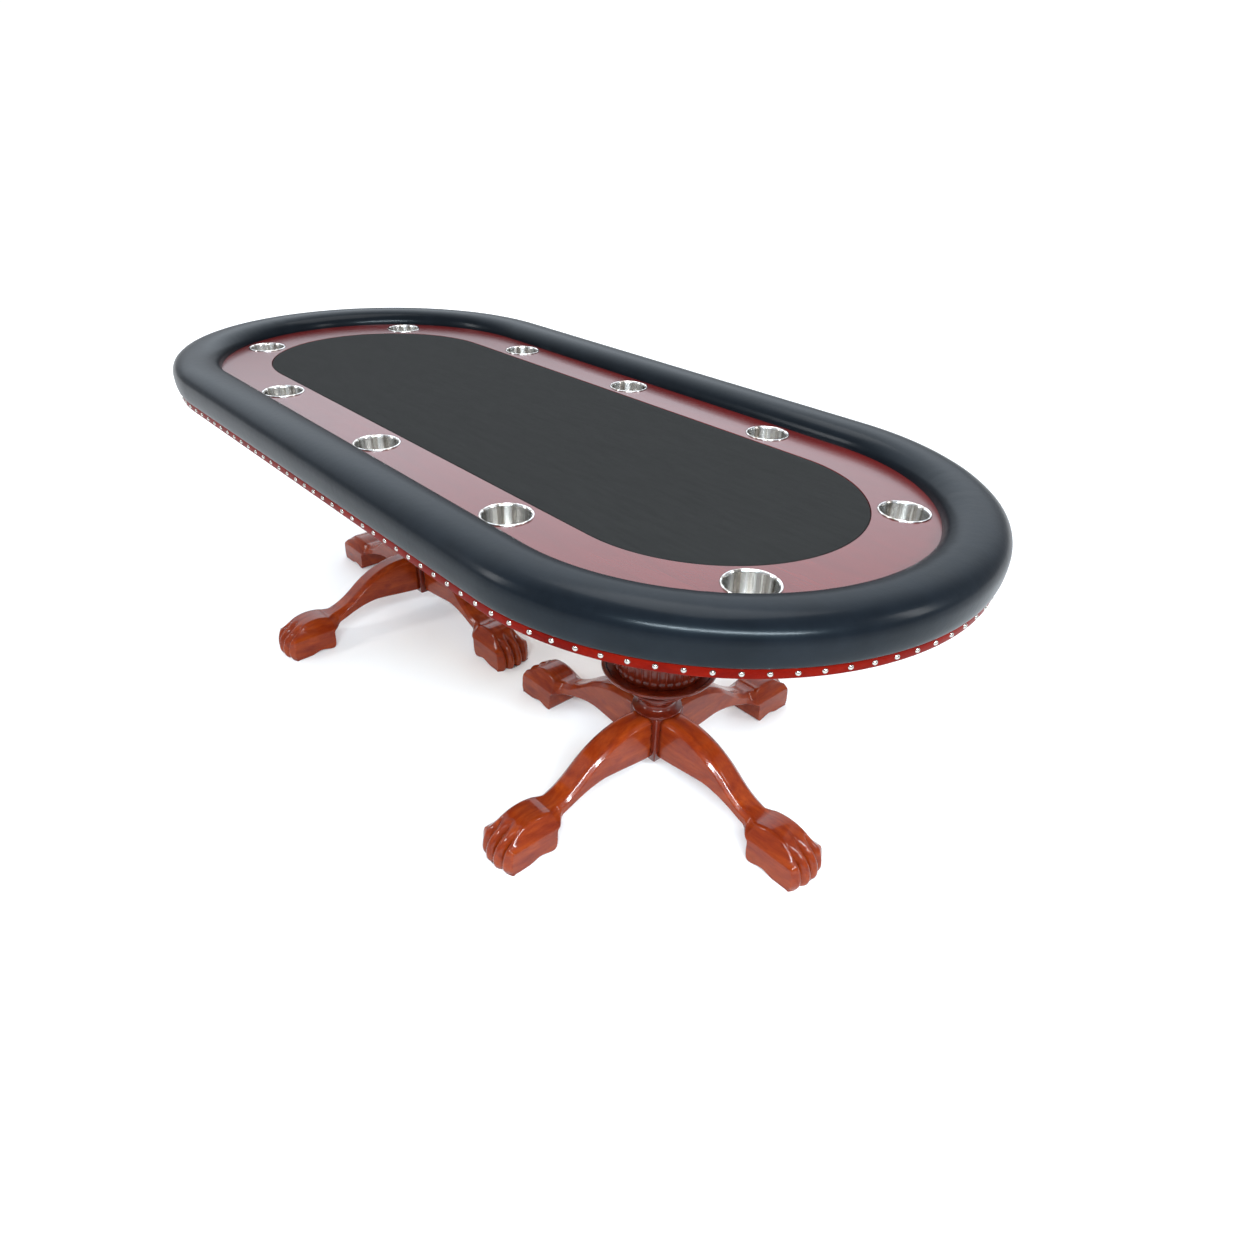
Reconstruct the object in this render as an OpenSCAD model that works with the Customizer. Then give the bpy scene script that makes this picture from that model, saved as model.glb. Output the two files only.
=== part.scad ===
// Oval poker table: a padded rail and a wooden racetrack with drop-in cup holders around a
// cloth playing field, on two turned pedestals with four paw-footed legs each.
// Millimetres. The origin is on the floor under the middle of the table, +X along its length.

/* [Table top] */
// Overall length over the rail
table_length = 2388; // [2200:4:2600]
// Overall width over the rail
table_width = 1118; // [1080:2:1180]
// Height of the racetrack's top face above the floor
track_height = 782; // [770:1:810]
// Thickness of the racetrack, the deck and the rail's base board
board = 18; // [16:1:19]

/* [Rail] */
// Width of the padded rail, seen from above
rail_width = 120; // [110:1:130]
// Height of the rail's crest above the racetrack
rail_height = 40; // [34:1:46]
// Thickness of the rail's vinyl cover
cover_t = 2; // [1.5:0.5:3]

/* [Playing field] */
// Radius of the round ends of the cloth
cloth_radius = 310.5; // [300:0.5:315]
// Thickness of the playing board
field_board = 12; // [9:1:14]
// Thickness of the foam under the cloth
field_foam = 5; // [4:0.5:6]

/* [Cup holders] */
// Outer radius of a cup's rim
cup_rim_r = 50.8; // [49:0.1:51]
// Outer radius of a cup's body at the top
cup_body_r = 46; // [43:0.5:46.5]
// Depth of a cup below the racetrack's top face
cup_depth = 74; // [66:1:78]
// Distance between neighbouring cups along a straight side
cup_pitch = 479; // [470:1:490]
// Angle of the end cups off the table's long axis
cup_angle = 37.3; // [34:0.1:40]

/* [Nail trim] */
// Number of nails around the deck's edge
nail_count = 144; // [100:2:160]
// Radius of a nail's domed head
nail_r = 4.8; // [4:0.1:5.5]

/* [Pedestals] */
// Distance from the table's middle to a pedestal's axis
pedestal_x = 535; // [525:1:545]
// Largest radius of the urn
urn_r = 118; // [112:1:122]
// Radius of the collar under the urn
collar_r = 137; // [130:1:140]
// Distance from the pedestal's axis to the toes
leg_reach = 500; // [480:1:520]
// Width of a leg between the hub and the foot
leg_width = 66; // [56:1:76]
// Width of a foot
foot_width = 110; // [100:1:120]

/* [Hidden] */
$fn = 96;

mahogany = "#7a2a22";
stained_edge = "#a5321a";
plywood = "#c9a878";
vinyl = "#1c1d20";
cloth = "#3e3e3e";
foam = "#d8cfae";
steel = "#a8acb0";
stainless = "#c4c7ca";
nickel = "#c8c2b4";

// Plan: every outline of the top is a stadium with the same straight sides. The cups hang in
// the gap between the middle boards and the outer rings.
rail_r = table_width / 2;
straight = table_length / 2 - rail_r;
rail_inner_r = rail_r - rail_width;
track_inner_r = cloth_radius + 1;
track_outer_r = rail_r - 28;
deck_r = rail_r - 9;
core_in_r = rail_inner_r + 13;
core_out_r = rail_r - 19;
skirt_out_r = rail_r - 12;
middle_r = track_inner_r + 11;
outer_in_r = rail_inner_r - 14;

// Heights above the floor
track_z = track_height - board;
deck_drop = 41;
deck_top = track_height - deck_drop;
deck_z = deck_top - board;
batten_h = 32;
batten_z = deck_z - batten_h;
plate_z = batten_z - board;

// Rail
skirt_in = track_outer_r + 2;
dome_sunk = 4;
dome_z = track_height - dome_sunk;
dome_power = 2.4;
tuck = 8;
rail_bolt_line = 480;
rail_bolt_r = 4;
rail_bolt_straight_x = [-450, -150, 150, 450];
rail_bolt_end_angles = [-60, -20, 20, 60];

// Gap between neighbouring boards of the racetrack
glue_line = 0.3;

// Cups
cup_line = (track_inner_r + rail_inner_r) / 2 - 1.5;
cup_hole_r = cup_body_r + 1;
cup_wall = 1;

// Battens and their screws
batten_w = 60;
batten_setback = 80;
end_batten_x = 810;
inner_screw_y = 190;
outer_screw_line = 440;
screw_len = 44;

// Pedestal
post = 92;
hub_z = 62;
hub_top = 200;
stem_top = 272;
urn_z = 319;
urn_top = 600;
plate_size = 340;
plate_bolt_x = 135;
plate_bolt_y = 120;
plate_bolt_reach = 25;
rod_r = 6;
rod_clear = 0.5;
dowel_r = 5;
dowel_len = 60;
dowel_heights = [115, 165];
heel = 350;

function sgn(v) = v < 0 ? -1 : 1;
function bezier(p, n) = [for (i = [0:n]) let (t = i / n, u = 1 - t)
    u * u * u * p[0] + 3 * u * u * t * p[1] + 3 * u * t * t * p[2] + t * t * t * p[3]];

// Centre of cup number i, counted around the table from the front left
function cup_at(i) =
    let (end_x = straight + cup_line * cos(cup_angle), end_y = cup_line * sin(cup_angle))
    i <= 3 ? [(i - 2) * cup_pitch, -cup_line] :
    i == 4 ? [end_x, -end_y] :
    i == 5 ? [end_x, end_y] :
    i <= 8 ? [(7 - i) * cup_pitch, cup_line] :
    i == 9 ? [-end_x, end_y] : [-end_x, -end_y];

// The rail's outline in section, drawn inset by d: a dome, with its outer side tucked under
function rail_outline(d) =
    let (mid = rail_r - rail_width / 2, half = rail_width / 2 - d, rise = rail_height + dome_sunk - d)
    concat(
        [for (a = [180:-6:0]) let (z = dome_z + rise * pow(abs(sin(a)), 2 / dome_power))
            [mid + half * sgn(cos(a)) * pow(abs(cos(a)), 2 / dome_power),
             a > 90 ? max(z, track_height) : z]],
        [for (k = [1:6]) let (drop = (dome_z - deck_top) * k / 6)
            [rail_r - d - tuck + tuck * sqrt(1 - pow(k / 6, 2)), dome_z - drop]]);

module stadium(r) {
    square([2 * straight, 2 * r], center = true);
    for (s = [-1, 1]) translate([s * straight, 0]) circle(r, $fn = 180);
}

module plate(r, z, t) {
    translate([0, 0, z]) linear_extrude(t) stadium(r);
}

module ring(r_in, r_out, z, t) {
    translate([0, 0, z]) linear_extrude(t) difference() {
        stadium(r_out);
        stadium(r_in);
    }
}

// Sweeps a section, drawn as distance from the stadium's spine against height, round the table
module round_the_table() {
    for (s = [0, 1]) rotate([0, 0, 180 * s]) {
        translate([straight, 0, 0]) rotate([0, 0, -90])
            rotate_extrude(angle = 180, $fn = 180) children();
        translate([-straight, 0, 0]) rotate([90, 0, 90])
            linear_extrude(2 * straight) children();
    }
}

module at_cups() {
    for (i = [1:10]) translate(cup_at(i)) children();
}

module at_rail_bolts() {
    for (x = rail_bolt_straight_x, s = [-1, 1]) translate([x, s * rail_bolt_line, 0]) children();
    for (a = rail_bolt_end_angles, s = [-1, 1])
        translate([s * (straight + rail_bolt_line * cos(a)), rail_bolt_line * sin(a), 0])
            children();
}

// Deck and track

module deck_ring() {
    color(stained_edge) difference() {
        ring(outer_in_r, deck_r, deck_z, board);
        at_rail_bolts() translate([0, 0, deck_z - 1]) cylinder(r = rail_bolt_r, h = board + 2);
    }
}

module deck_panel() {
    color(plywood) plate(middle_r, deck_z, board);
}

// Place of the nail at distance s along the edge, with its outward direction
module nail_at(s) {
    arc = PI * deck_r;
    side = 2 * straight;
    turn = floor(s / (side + arc));
    rest = s - turn * (side + arc);
    rotate([0, 0, 180 * turn])
        if (rest < side) translate([straight - rest, deck_r, 0]) rotate([-90, 0, 0]) children();
        else translate([-straight, 0, 0]) rotate([0, 0, 90 + (rest - side) / deck_r * 180 / PI])
            translate([deck_r, 0, 0]) rotate([0, 90, 0]) children();
}

module nail() {
    head_h = 3.2;
    dome = (nail_r * nail_r + head_h * head_h) / (2 * head_h);
    intersection() {
        translate([0, 0, head_h - dome]) sphere(dome, $fn = 24);
        cylinder(r = nail_r + 1, h = head_h + 1, $fn = 24);
    }
    translate([0, 0, -12]) cylinder(r = 1, h = 12, $fn = 24);
}

// Nails of one half of the edge: half 0 is the back side and the left end, half 1 the front
// side and the right end
module edge_nails(half) {
    pitch = (4 * straight + 2 * PI * deck_r) / nail_count;
    per_half = nail_count / 2;
    color(nickel) translate([0, 0, deck_z + board / 2])
        for (i = [0:per_half - 1]) nail_at(pitch * (half * per_half + i + 0.5)) nail();
}

module playing_deck() {
    color(plywood) plate(middle_r, deck_top, track_z - deck_top);
}

module spacer_ring() {
    color(plywood) difference() {
        ring(outer_in_r, track_outer_r, deck_top, track_z - deck_top);
        at_rail_bolts() translate([0, 0, deck_top - 1])
            cylinder(r = rail_bolt_r, h = track_z - deck_top + 2);
    }
}

// The racetrack is made up of ten boards, each with one cup hole: three along each side, and two
// quarter arcs at each end
module racetrack(low, high, cuts_x, cuts_y) {
    color(mahogany) difference() {
        intersection() {
            ring(track_inner_r, track_outer_r, track_z, board);
            translate([low[0], low[1], track_z - 1])
                cube([high[0] - low[0], high[1] - low[1], board + 2]);
        }
        for (x = cuts_x) translate([x - glue_line / 2, -deck_r, track_z - 1])
            cube([glue_line, 2 * deck_r, board + 2]);
        for (y = cuts_y) translate([-table_length, y - glue_line / 2, track_z - 1])
            cube([2 * table_length, glue_line, board + 2]);
        at_cups() translate([0, 0, track_z - 1]) cylinder(r = cup_hole_r, h = board + 2);
        at_rail_bolts() translate([0, 0, track_z - 1]) cylinder(r = rail_bolt_r, h = board + 2);
    }
}

module racetrack_side() {
    end = straight - glue_line / 2;
    racetrack([-end, 0], [end, deck_r], [-cup_pitch / 2, cup_pitch / 2], []);
}

module racetrack_end() {
    racetrack([straight + glue_line / 2, -deck_r], [table_length, deck_r], [], [0]);
}

// Playing field, which lifts out of the racetrack

field_gap = 0.1;
field_z = track_z + field_gap;
field_r = cloth_radius - 1.5;

module playing_board() {
    color(plywood) plate(field_r, field_z, field_board);
}

module playing_foam() {
    color(foam) plate(field_r, field_z + field_board, field_foam);
}

module playing_cloth() {
    stack = field_board + field_foam;
    color(cloth) difference() {
        plate(cloth_radius, field_z, stack + 1);
        plate(field_r, field_z - 1, stack + 1);
    }
}

// Rail

module rail_core() {
    color(plywood) difference() {
        ring(core_in_r, core_out_r, track_height, board);
        at_rail_bolts() translate([0, 0, track_height]) {
            translate([0, 0, -1]) cylinder(r = 5.5, h = board + 2);
            translate([0, 0, board - 1.5]) cylinder(r = 10, h = 3);
        }
    }
}

module rail_skirt() {
    color(plywood) ring(skirt_in, skirt_out_r, deck_top, track_height - deck_top);
}

module rail_body(d) {
    round_the_table() polygon(concat(rail_outline(d),
        [[skirt_in, deck_top], [skirt_in, track_height]]));
}

module rail_padding() {
    color(foam) difference() {
        rail_body(cover_t);
        ring(core_in_r, core_out_r, track_height - 1, board + 1);
        ring(skirt_in - 1, skirt_out_r, deck_top - 1, track_height - deck_top + 1);
    }
}

module rail_cover() {
    color(vinyl) round_the_table() polygon(concat(rail_outline(0),
        [for (i = [len(rail_outline(0)) - 1:-1:0]) rail_outline(cover_t)[i]]));
}

module rail_bolts() {
    shank = track_height + 14 - deck_z;
    color(steel) at_rail_bolts() translate([0, 0, deck_z]) {
        cylinder(r = rail_bolt_r - 0.5, h = shank, $fn = 32);
        translate([0, 0, -1.6]) cylinder(r = 10, h = 1.6, $fn = 32);
        translate([0, 0, -7]) cylinder(r = 7.5, h = 5.4, $fn = 6);
    }
}

module rail_t_nuts() {
    color(steel) at_rail_bolts() translate([0, 0, track_height]) difference() {
        union() {
            cylinder(r = 5.4, h = board, $fn = 32);
            translate([0, 0, board - 1.5]) cylinder(r = 9.9, h = 1.5, $fn = 32);
        }
        translate([0, 0, -1]) cylinder(r = rail_bolt_r - 0.5, h = board + 4, $fn = 32);
    }
}

// Battens under the deck

// Distance from the table's long axis to the stadium of radius r at x
function reach_at(x, r) = sqrt(pow(r, 2) - pow(max(0, abs(x) - straight), 2));

module batten(x) {
    half = reach_at(abs(x) + batten_w / 2, deck_r - batten_setback);
    translate([x - batten_w / 2, -half, batten_z]) cube([batten_w, 2 * half, batten_h]);
}

module pedestal_battens() {
    color(plywood) difference() {
        for (side = [-1, 1], dx = [-1, 1]) batten(side * (pedestal_x + dx * plate_bolt_x));
        for (side = [-1, 1], dx = [-1, 1], y = [-1, 1])
            translate([side * (pedestal_x + dx * plate_bolt_x), y * plate_bolt_y, batten_z - 1])
                cylinder(r = rail_bolt_r, h = plate_bolt_reach + 2);
    }
}

module end_battens() {
    color(plywood) for (side = [-1, 1]) batten(side * end_batten_x);
}

module batten_screws() {
    rows = [end_batten_x, pedestal_x + plate_bolt_x, pedestal_x - plate_bolt_x];
    color(steel) for (end = [-1, 1], side = [-1, 1], x = rows)
        for (y = [inner_screw_y, reach_at(x, outer_screw_line)])
            translate([end * x, side * y, batten_z - 2]) {
                cylinder(r = 5, h = 2, $fn = 24);
                cylinder(r = 2.5, h = screw_len, $fn = 24);
            }
}

// Cup holders

module cup_holder(i) {
    lift = 0.05;
    r = cup_body_r;
    c = cup_wall;
    color(stainless) translate(concat(cup_at(i), track_height + lift))
        rotate_extrude() polygon([
            [0, -cup_depth], [r - 6, -cup_depth], [r - 3, -cup_depth + 1.5],
            [r - 1.5, -cup_depth + 5], [r, 0], [cup_rim_r, 0], [cup_rim_r, 1.2],
            [cup_rim_r - 1.5, 2.3], [cup_rim_r - 4, 2.6], [r + 0.3, 2], [r - c, 0],
            [r - 1.5 - c, -cup_depth + 5.4], [r - 3.6, -cup_depth + 2.4],
            [r - 6.4, -cup_depth + c], [0, -cup_depth + c]
        ]);
}

// Pedestals

module left() {
    translate([-pedestal_x, 0, 0]) mirror([1, 0, 0]) children();
}

module right() {
    translate([pedestal_x, 0, 0]) children();
}

module rod_bore(z, h) {
    translate([0, 0, z - 1]) cylinder(r = rod_r + rod_clear, h = h + 2);
}

module turned(outline) {
    rotate_extrude() polygon(outline);
}

module top_plate() {
    color(plywood) difference() {
        translate([-plate_size / 2, -plate_size / 2, plate_z])
            cube([plate_size, plate_size, board]);
        rod_bore(plate_z, board);
        for (x = [-1, 1], y = [-1, 1])
            translate([x * plate_bolt_x, y * plate_bolt_y, plate_z - 1])
                cylinder(r = rail_bolt_r, h = board + 2);
    }
}

module capital() {
    h = plate_z - urn_top;
    color(mahogany) difference() {
        turned(concat([[0, urn_top], [86, urn_top]],
            bezier([[90, urn_top + 2], [98, urn_top + 4], [98, urn_top + 14], [90, urn_top + 16]], 8),
            [[84, urn_top + 20]],
            bezier([[84, urn_top + 22], [86, urn_top + 40], [104, urn_top + 46],
                    [124, urn_top + 50]], 10),
            [[124, plate_z], [0, plate_z]]));
        rod_bore(urn_top, h);
    }
}

module urn() {
    color(mahogany) difference() {
        turned(concat([[0, urn_z], [106, urn_z], [112, urn_z + 4], [112, urn_z + 18],
                [109, urn_z + 22]],
            bezier([[110, urn_z + 24], [urn_r + 1, urn_z + 90], [urn_r + 2, urn_z + 170],
                    [106, urn_top - 60]], 14),
            bezier([[104, urn_top - 58], [84, urn_top - 44], [72, urn_top - 30],
                    [78, urn_top - 14]], 8),
            [[84, urn_top - 12], [84, urn_top], [0, urn_top]]));
        rod_bore(urn_z, urn_top - urn_z);
    }
}

module collar() {
    lip = urn_z + 7;
    color(mahogany) difference() {
        turned(concat([[0, stem_top], [70, stem_top]],
            bezier([[70, stem_top + 4], [84, stem_top + 30], [112, stem_top + 26],
                    [collar_r - 3, lip - 10]], 10),
            [[collar_r, lip - 7], [collar_r, lip - 2], [collar_r - 3, lip],
             [collar_r - 9, lip], [collar_r - 14, urn_z], [0, urn_z]]));
        rod_bore(stem_top, urn_z - stem_top);
    }
}

module stem() {
    color(mahogany) difference() {
        turned(concat([[0, hub_top], [60, hub_top], [60, hub_top + 6]],
            bezier([[52, hub_top + 8], [38, hub_top + 12], [38, hub_top + 26],
                    [44, hub_top + 31]], 8),
            bezier([[46, hub_top + 32], [52, hub_top + 34], [52, hub_top + 44],
                    [46, hub_top + 46]], 8),
            [[42, hub_top + 49], [62, stem_top - 17]],
            bezier([[66, stem_top - 16], [80, stem_top - 14], [80, stem_top - 2],
                    [68, stem_top]], 8),
            [[0, stem_top]]));
        rod_bore(hub_top, stem_top - hub_top);
    }
}

module dowel_places() {
    for (z = dowel_heights) translate([post / 2 - dowel_len / 2, 0, z]) rotate([0, 90, 0])
        children();
}

module hub() {
    color(mahogany) difference() {
        union() {
            translate([-post / 2, -post / 2, hub_z + 12]) cube([post, post, hub_top - hub_z - 12]);
            translate([0, 0, hub_z]) cylinder(r1 = 30, r2 = 40, h = 12);
        }
        rod_bore(hub_z, hub_top - hub_z);
        translate([0, 0, hub_z - 1]) cylinder(r = 16, h = 15);
        for (a = [0:90:270]) rotate([0, 0, a]) dowel_places() cylinder(r = dowel_r, h = dowel_len);
    }
}

// The leg in side view: distance from the pedestal's axis against height
leg_outline = concat(
    bezier([[post / 2, 197], [110, 206], [180, 190], [235, 146]], 12),
    bezier([[235, 146], [285, 106], [320, 92], [heel, 94]], 8),
    bezier([[heel, 94], [390, 108], [430, 104], [leg_reach - 38, 78]], 8),
    bezier([[leg_reach - 38, 78], [leg_reach - 8, 62], [leg_reach + 4, 20],
            [leg_reach - 14, 0]], 8),
    bezier([[432, 0], [412, 8], [392, 8], [372, 0]], 4),
    bezier([[heel + 8, 0], [heel, 10], [heel, 40], [heel - 9, 60]], 6),
    bezier([[heel - 9, 60], [300, 66], [262, 98], [190, 100]], 10),
    [[110, 88], [post / 2, 84]]);

module leg_slab(width) {
    translate([0, width / 2, 0]) rotate([90, 0, 0]) linear_extrude(width) polygon(leg_outline);
}

// A leg stands along +X: a narrow shank, and a wider foot with grooves between its toes
module leg() {
    groove = 9;
    color(mahogany) difference() {
        union() {
            leg_slab(leg_width);
            intersection() {
                leg_slab(foot_width);
                translate([heel - 12, -foot_width, -1]) cube([200, 2 * foot_width, 200]);
            }
        }
        for (y = [-1, 0, 1] * foot_width / 4)
            translate([leg_reach - 38, y, 92]) rotate([0, 130, 0])
                cylinder(r = groove, h = 120, $fn = 4);
        dowel_places() cylinder(r = dowel_r, h = dowel_len);
    }
}

module leg_dowels() {
    color(plywood) for (a = [0:90:270]) rotate([0, 0, a]) dowel_places()
        translate([0, 0, 1]) cylinder(r = dowel_r, h = dowel_len - 2, $fn = 32);
}

module tie_rod() {
    color(steel) translate([0, 0, hub_z - 2]) cylinder(r = rod_r, h = plate_z + board + 12 - hub_z);
}

module tie_rod_nut() {
    difference() {
        union() {
            cylinder(r = 15, h = 2.5);
            translate([0, 0, 2.5]) cylinder(r = 10.5, h = 8, $fn = 6);
        }
        translate([0, 0, -1]) cylinder(r = rod_r, h = 14);
    }
}

module tie_rod_nuts() {
    color(steel) {
        translate([0, 0, hub_z + 14]) mirror([0, 0, 1]) tie_rod_nut();
        translate([0, 0, plate_z + board]) tie_rod_nut();
    }
}

module plate_bolts() {
    color(steel) for (x = [-1, 1], y = [-1, 1])
        translate([x * plate_bolt_x, y * plate_bolt_y, plate_z]) {
            cylinder(r = rail_bolt_r - 0.05, h = board + plate_bolt_reach, $fn = 32);
            translate([0, 0, -5.5]) cylinder(r = 7.5, h = 5.5, $fn = 6);
        }
}

deck_ring();
deck_panel();
edge_nails(0);  // edge_nails_1
edge_nails(1);  // edge_nails_2
playing_deck();
spacer_ring();
rotate([0, 0, 180]) racetrack_side();  // racetrack_front
racetrack_end();  // racetrack_right
racetrack_side();  // racetrack_back
rotate([0, 0, 180]) racetrack_end();  // racetrack_left
playing_board();
playing_foam();
playing_cloth();
rail_core();
rail_skirt();
rail_padding();
rail_cover();
rail_bolts();
rail_t_nuts();
pedestal_battens();
end_battens();
batten_screws();
cup_holder(1);  // cup_holder_1
cup_holder(2);  // cup_holder_2
cup_holder(3);  // cup_holder_3
cup_holder(4);  // cup_holder_4
cup_holder(5);  // cup_holder_5
cup_holder(6);  // cup_holder_6
cup_holder(7);  // cup_holder_7
cup_holder(8);  // cup_holder_8
cup_holder(9);  // cup_holder_9
cup_holder(10);  // cup_holder_10
left() top_plate();  // left_top_plate
left() capital();  // left_capital
left() urn();  // left_urn
left() collar();  // left_collar
left() stem();  // left_stem
left() hub();  // left_hub
left() leg();  // left_leg_outer
left() rotate([0, 0, -90]) leg();  // left_leg_front
left() rotate([0, 0, 180]) leg();  // left_leg_inner
left() rotate([0, 0, 90]) leg();  // left_leg_back
left() leg_dowels();  // left_leg_dowels
left() tie_rod();  // left_tie_rod
left() tie_rod_nuts();  // left_tie_rod_nuts
left() plate_bolts();  // left_plate_bolts
right() top_plate();  // right_top_plate
right() capital();  // right_capital
right() urn();  // right_urn
right() collar();  // right_collar
right() stem();  // right_stem
right() hub();  // right_hub
right() leg();  // right_leg_outer
right() rotate([0, 0, -90]) leg();  // right_leg_front
right() rotate([0, 0, 180]) leg();  // right_leg_inner
right() rotate([0, 0, 90]) leg();  // right_leg_back
right() leg_dowels();  // right_leg_dowels
right() tie_rod();  // right_tie_rod
right() tie_rod_nuts();  // right_tie_rod_nuts
right() plate_bolts();  // right_plate_bolts
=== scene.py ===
import math

import bmesh
import bpy
import numpy as np
from mathutils import Matrix, Vector, noise

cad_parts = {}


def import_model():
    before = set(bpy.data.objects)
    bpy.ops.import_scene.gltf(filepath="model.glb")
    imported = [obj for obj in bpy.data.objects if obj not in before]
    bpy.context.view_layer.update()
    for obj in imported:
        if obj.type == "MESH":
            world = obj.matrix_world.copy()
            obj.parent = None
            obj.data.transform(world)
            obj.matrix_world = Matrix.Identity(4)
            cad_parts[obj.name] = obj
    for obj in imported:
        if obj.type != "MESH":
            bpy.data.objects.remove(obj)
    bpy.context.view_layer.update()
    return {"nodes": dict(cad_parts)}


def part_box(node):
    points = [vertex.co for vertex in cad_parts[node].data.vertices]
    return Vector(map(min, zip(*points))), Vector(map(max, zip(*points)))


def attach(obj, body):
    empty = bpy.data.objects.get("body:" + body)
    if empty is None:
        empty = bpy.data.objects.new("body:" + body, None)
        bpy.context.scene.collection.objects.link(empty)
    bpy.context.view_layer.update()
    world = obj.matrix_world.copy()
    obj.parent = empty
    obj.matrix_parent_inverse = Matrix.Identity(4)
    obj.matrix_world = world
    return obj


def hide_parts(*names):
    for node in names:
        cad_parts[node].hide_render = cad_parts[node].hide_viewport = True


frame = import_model()

# Sizes from the frame, in metres. Every outline of the top is a stadium: two straight sides and
# two half circles, whose centres are HALF from the middle of the table.
DECK_LOW, DECK_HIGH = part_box("deck_ring")
TRACK_LOW, TRACK_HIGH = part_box("racetrack_back")
RAIL_LOW, RAIL_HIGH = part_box("rail_cover")
CLOTH_LOW, CLOTH_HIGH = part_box("playing_cloth")
CORE_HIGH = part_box("rail_core")[1]
SKIRT_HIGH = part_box("rail_skirt")[1]
HALF = DECK_HIGH.x - DECK_HIGH.y
PEDESTAL_X = sum(v.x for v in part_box("right_urn")) / 2
PEDESTALS = {"left": -PEDESTAL_X, "right": PEDESTAL_X}

# Sizes that a box doesn't give. Those of holes, cups and bolts are radii.
RAIL_WIDTH = 0.120
RAIL_TUCK = 0.008       # how far the rail's side pulls in at its lower edge
RAIL_DOME = 2.4         # the power of the superellipse over the rail: 2 is a plain ellipse
VINYL = 0.002
CUP_BODY = 0.046
CUP_HOLE = CUP_BODY + 0.001
BOLT_HOLE = 0.004
BOLT_LINE = 0.480       # from the line of centres to the rail's bolts
BOLT_STEP = 0.150
BOLT_ANGLES = (-60, -20, 20, 60)
ROD_BORE = 0.0065
NAILS = 144
CUPS = range(1, 11)
WAYS = ("front", "right", "back", "left")


# Meshes

def link(name, mesh, sharp=40):
    """An object for a finished mesh, smooth but for edges sharper than that many degrees."""
    mesh.shade_smooth()
    mesh.set_sharp_from_angle(angle=math.radians(sharp))
    piece = bpy.data.objects.new(name, mesh)
    bpy.context.scene.collection.objects.link(piece)
    return piece


def build(name, points, faces, sharp=40):
    """A closed mesh with its doubled points merged and its faces turned outwards."""
    mesh = bpy.data.meshes.new(name)
    mesh.from_pydata(points, [], faces)
    work = bmesh.new()
    work.from_mesh(mesh)
    bmesh.ops.remove_doubles(work, verts=work.verts, dist=1e-6)
    bmesh.ops.recalc_face_normals(work, faces=work.faces)
    work.to_mesh(mesh)
    work.free()
    return link(name, mesh, sharp)


def grid_faces(rows, columns, wrap_rows=True, wrap_columns=True):
    """Quads over a grid of points that is joined round in the directions named."""
    i = np.arange(rows if wrap_rows else rows - 1)[:, None]
    j = np.arange(columns if wrap_columns else columns - 1)[None, :]
    down, right = (i + 1) % rows, (j + 1) % columns
    corners = [i * columns + j, i * columns + right, down * columns + right, down * columns + j]
    return np.stack([c.ravel() for c in corners], axis=1).tolist()


def grid(name, points, wrap_rows=True, wrap_columns=True, sharp=40):
    """A mesh over an array of points, rows by columns by 3."""
    rows, columns = points.shape[:2]
    faces = grid_faces(rows, columns, wrap_rows, wrap_columns)
    return build(name, points.reshape(-1, 3).tolist(), faces, sharp)


def bezier(a, b, c, d, steps):
    """Points along a cubic curve."""
    t = np.linspace(0, 1, steps + 1)[:, None]
    a, b, c, d = (np.array(p, float) for p in (a, b, c, d))
    return (1 - t) ** 3 * a + 3 * (1 - t) ** 2 * t * b + 3 * (1 - t) * t * t * c + t ** 3 * d


def corner(start, tip, end, steps):
    """Points on a curve that cuts the tip off a corner."""
    return [(1 - t) ** 2 * start + 2 * t * (1 - t) * tip + t * t * end
            for t in np.linspace(0, 1, steps + 1)]


def rounded(outline, radius, steps=4, least=20):
    """A closed outline whose corners of more than least degrees are rounded off."""
    outline = np.array(outline, float)
    made = []
    for before, here, after in zip(np.roll(outline, 1, 0), outline, np.roll(outline, -1, 0)):
        back, ahead = before - here, after - here
        far_back, far_ahead = np.linalg.norm(back), np.linalg.norm(ahead)
        turn = math.degrees(math.acos(np.clip(back @ ahead / (far_back * far_ahead), -1, 1)))
        if 180 - turn < least:
            made.append(here)
            continue
        reach = min(radius, 0.45 * far_back, 0.45 * far_ahead)
        start, end = here + back / far_back * reach, here + ahead / far_ahead * reach
        made += corner(start, here, end, steps)
    return np.array(made)


def stations(radius, step):
    """Places round the table about step apart at that radius: the centre's x and the way out."""
    along = math.ceil(2 * HALF / step)
    around = math.ceil(math.pi * radius / step)
    x = HALF - 2 * HALF * np.arange(along) / along
    a = math.pi / 2 + math.pi * np.arange(around) / around
    back = np.stack([x, 0 * x, 0 * x + 1], axis=1)
    left = np.stack([0 * a - HALF, np.cos(a), np.sin(a)], axis=1)
    return np.concatenate([back, left, -back, -left])


def sweep(name, section, places, shape=None, sharp=40, closed=True):
    """Carries a section, distance from the spine against height, round the table. An open
    one starts and ends on the spine. shape gives how far its points stand out at a place."""
    section = np.array(section, float)
    normal = np.roll(section, -1, 0) - np.roll(section, 1, 0)
    normal = np.stack([normal[:, 1], -normal[:, 0]], axis=1)
    normal /= np.linalg.norm(normal, axis=1)[:, None]
    points = np.zeros((len(places), len(section), 3))
    for row, (x, out_x, out_y) in zip(points, places):
        here = section if shape is None else section + normal * shape(x, out_x, out_y)[:, None]
        row[:, 0] = x + here[:, 0] * out_x
        row[:, 1] = here[:, 0] * out_y
        row[:, 2] = here[:, 1]
    return grid(name, points, wrap_columns=closed, sharp=sharp)


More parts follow.
